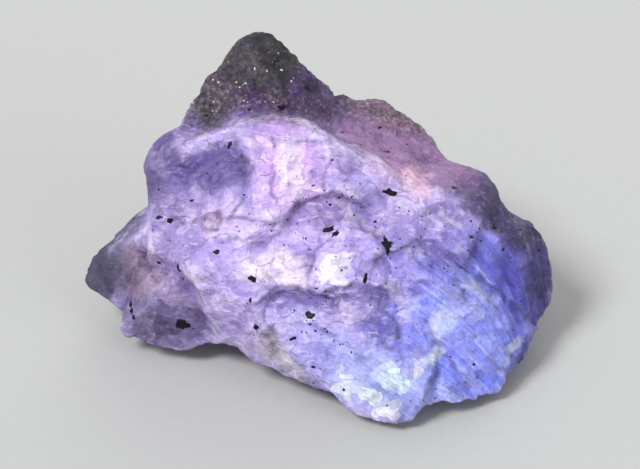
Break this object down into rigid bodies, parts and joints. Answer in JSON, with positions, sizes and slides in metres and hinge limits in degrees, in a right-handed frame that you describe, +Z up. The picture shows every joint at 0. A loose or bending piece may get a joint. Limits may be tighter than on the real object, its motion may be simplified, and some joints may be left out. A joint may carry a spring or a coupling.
{
  "type": "rough tanzanite",
  "caption": "Rough tanzanite, a broken lilac-blue crystal with a dark peak, a side point and black mineral flecks; a decorative mineral specimen that stands loose on a small flat spot",
  "frame": {"origin": "middle of the stone's outline seen from above, at the level of the flat spot that it stands on", "axes": "+X to the right along the longest extent and -Y towards the viewer, as seen from the best side; +Z up"},
  "size_m": [0.0434, 0.0326, 0.0252],
  "materials": {
    "tanzanite": "waxy to glassy broken crystal, translucent"
  },
  "bodies": {
    "root": {"tanzanite_crystal": "tanzanite"}
  },
  "joints": []
}
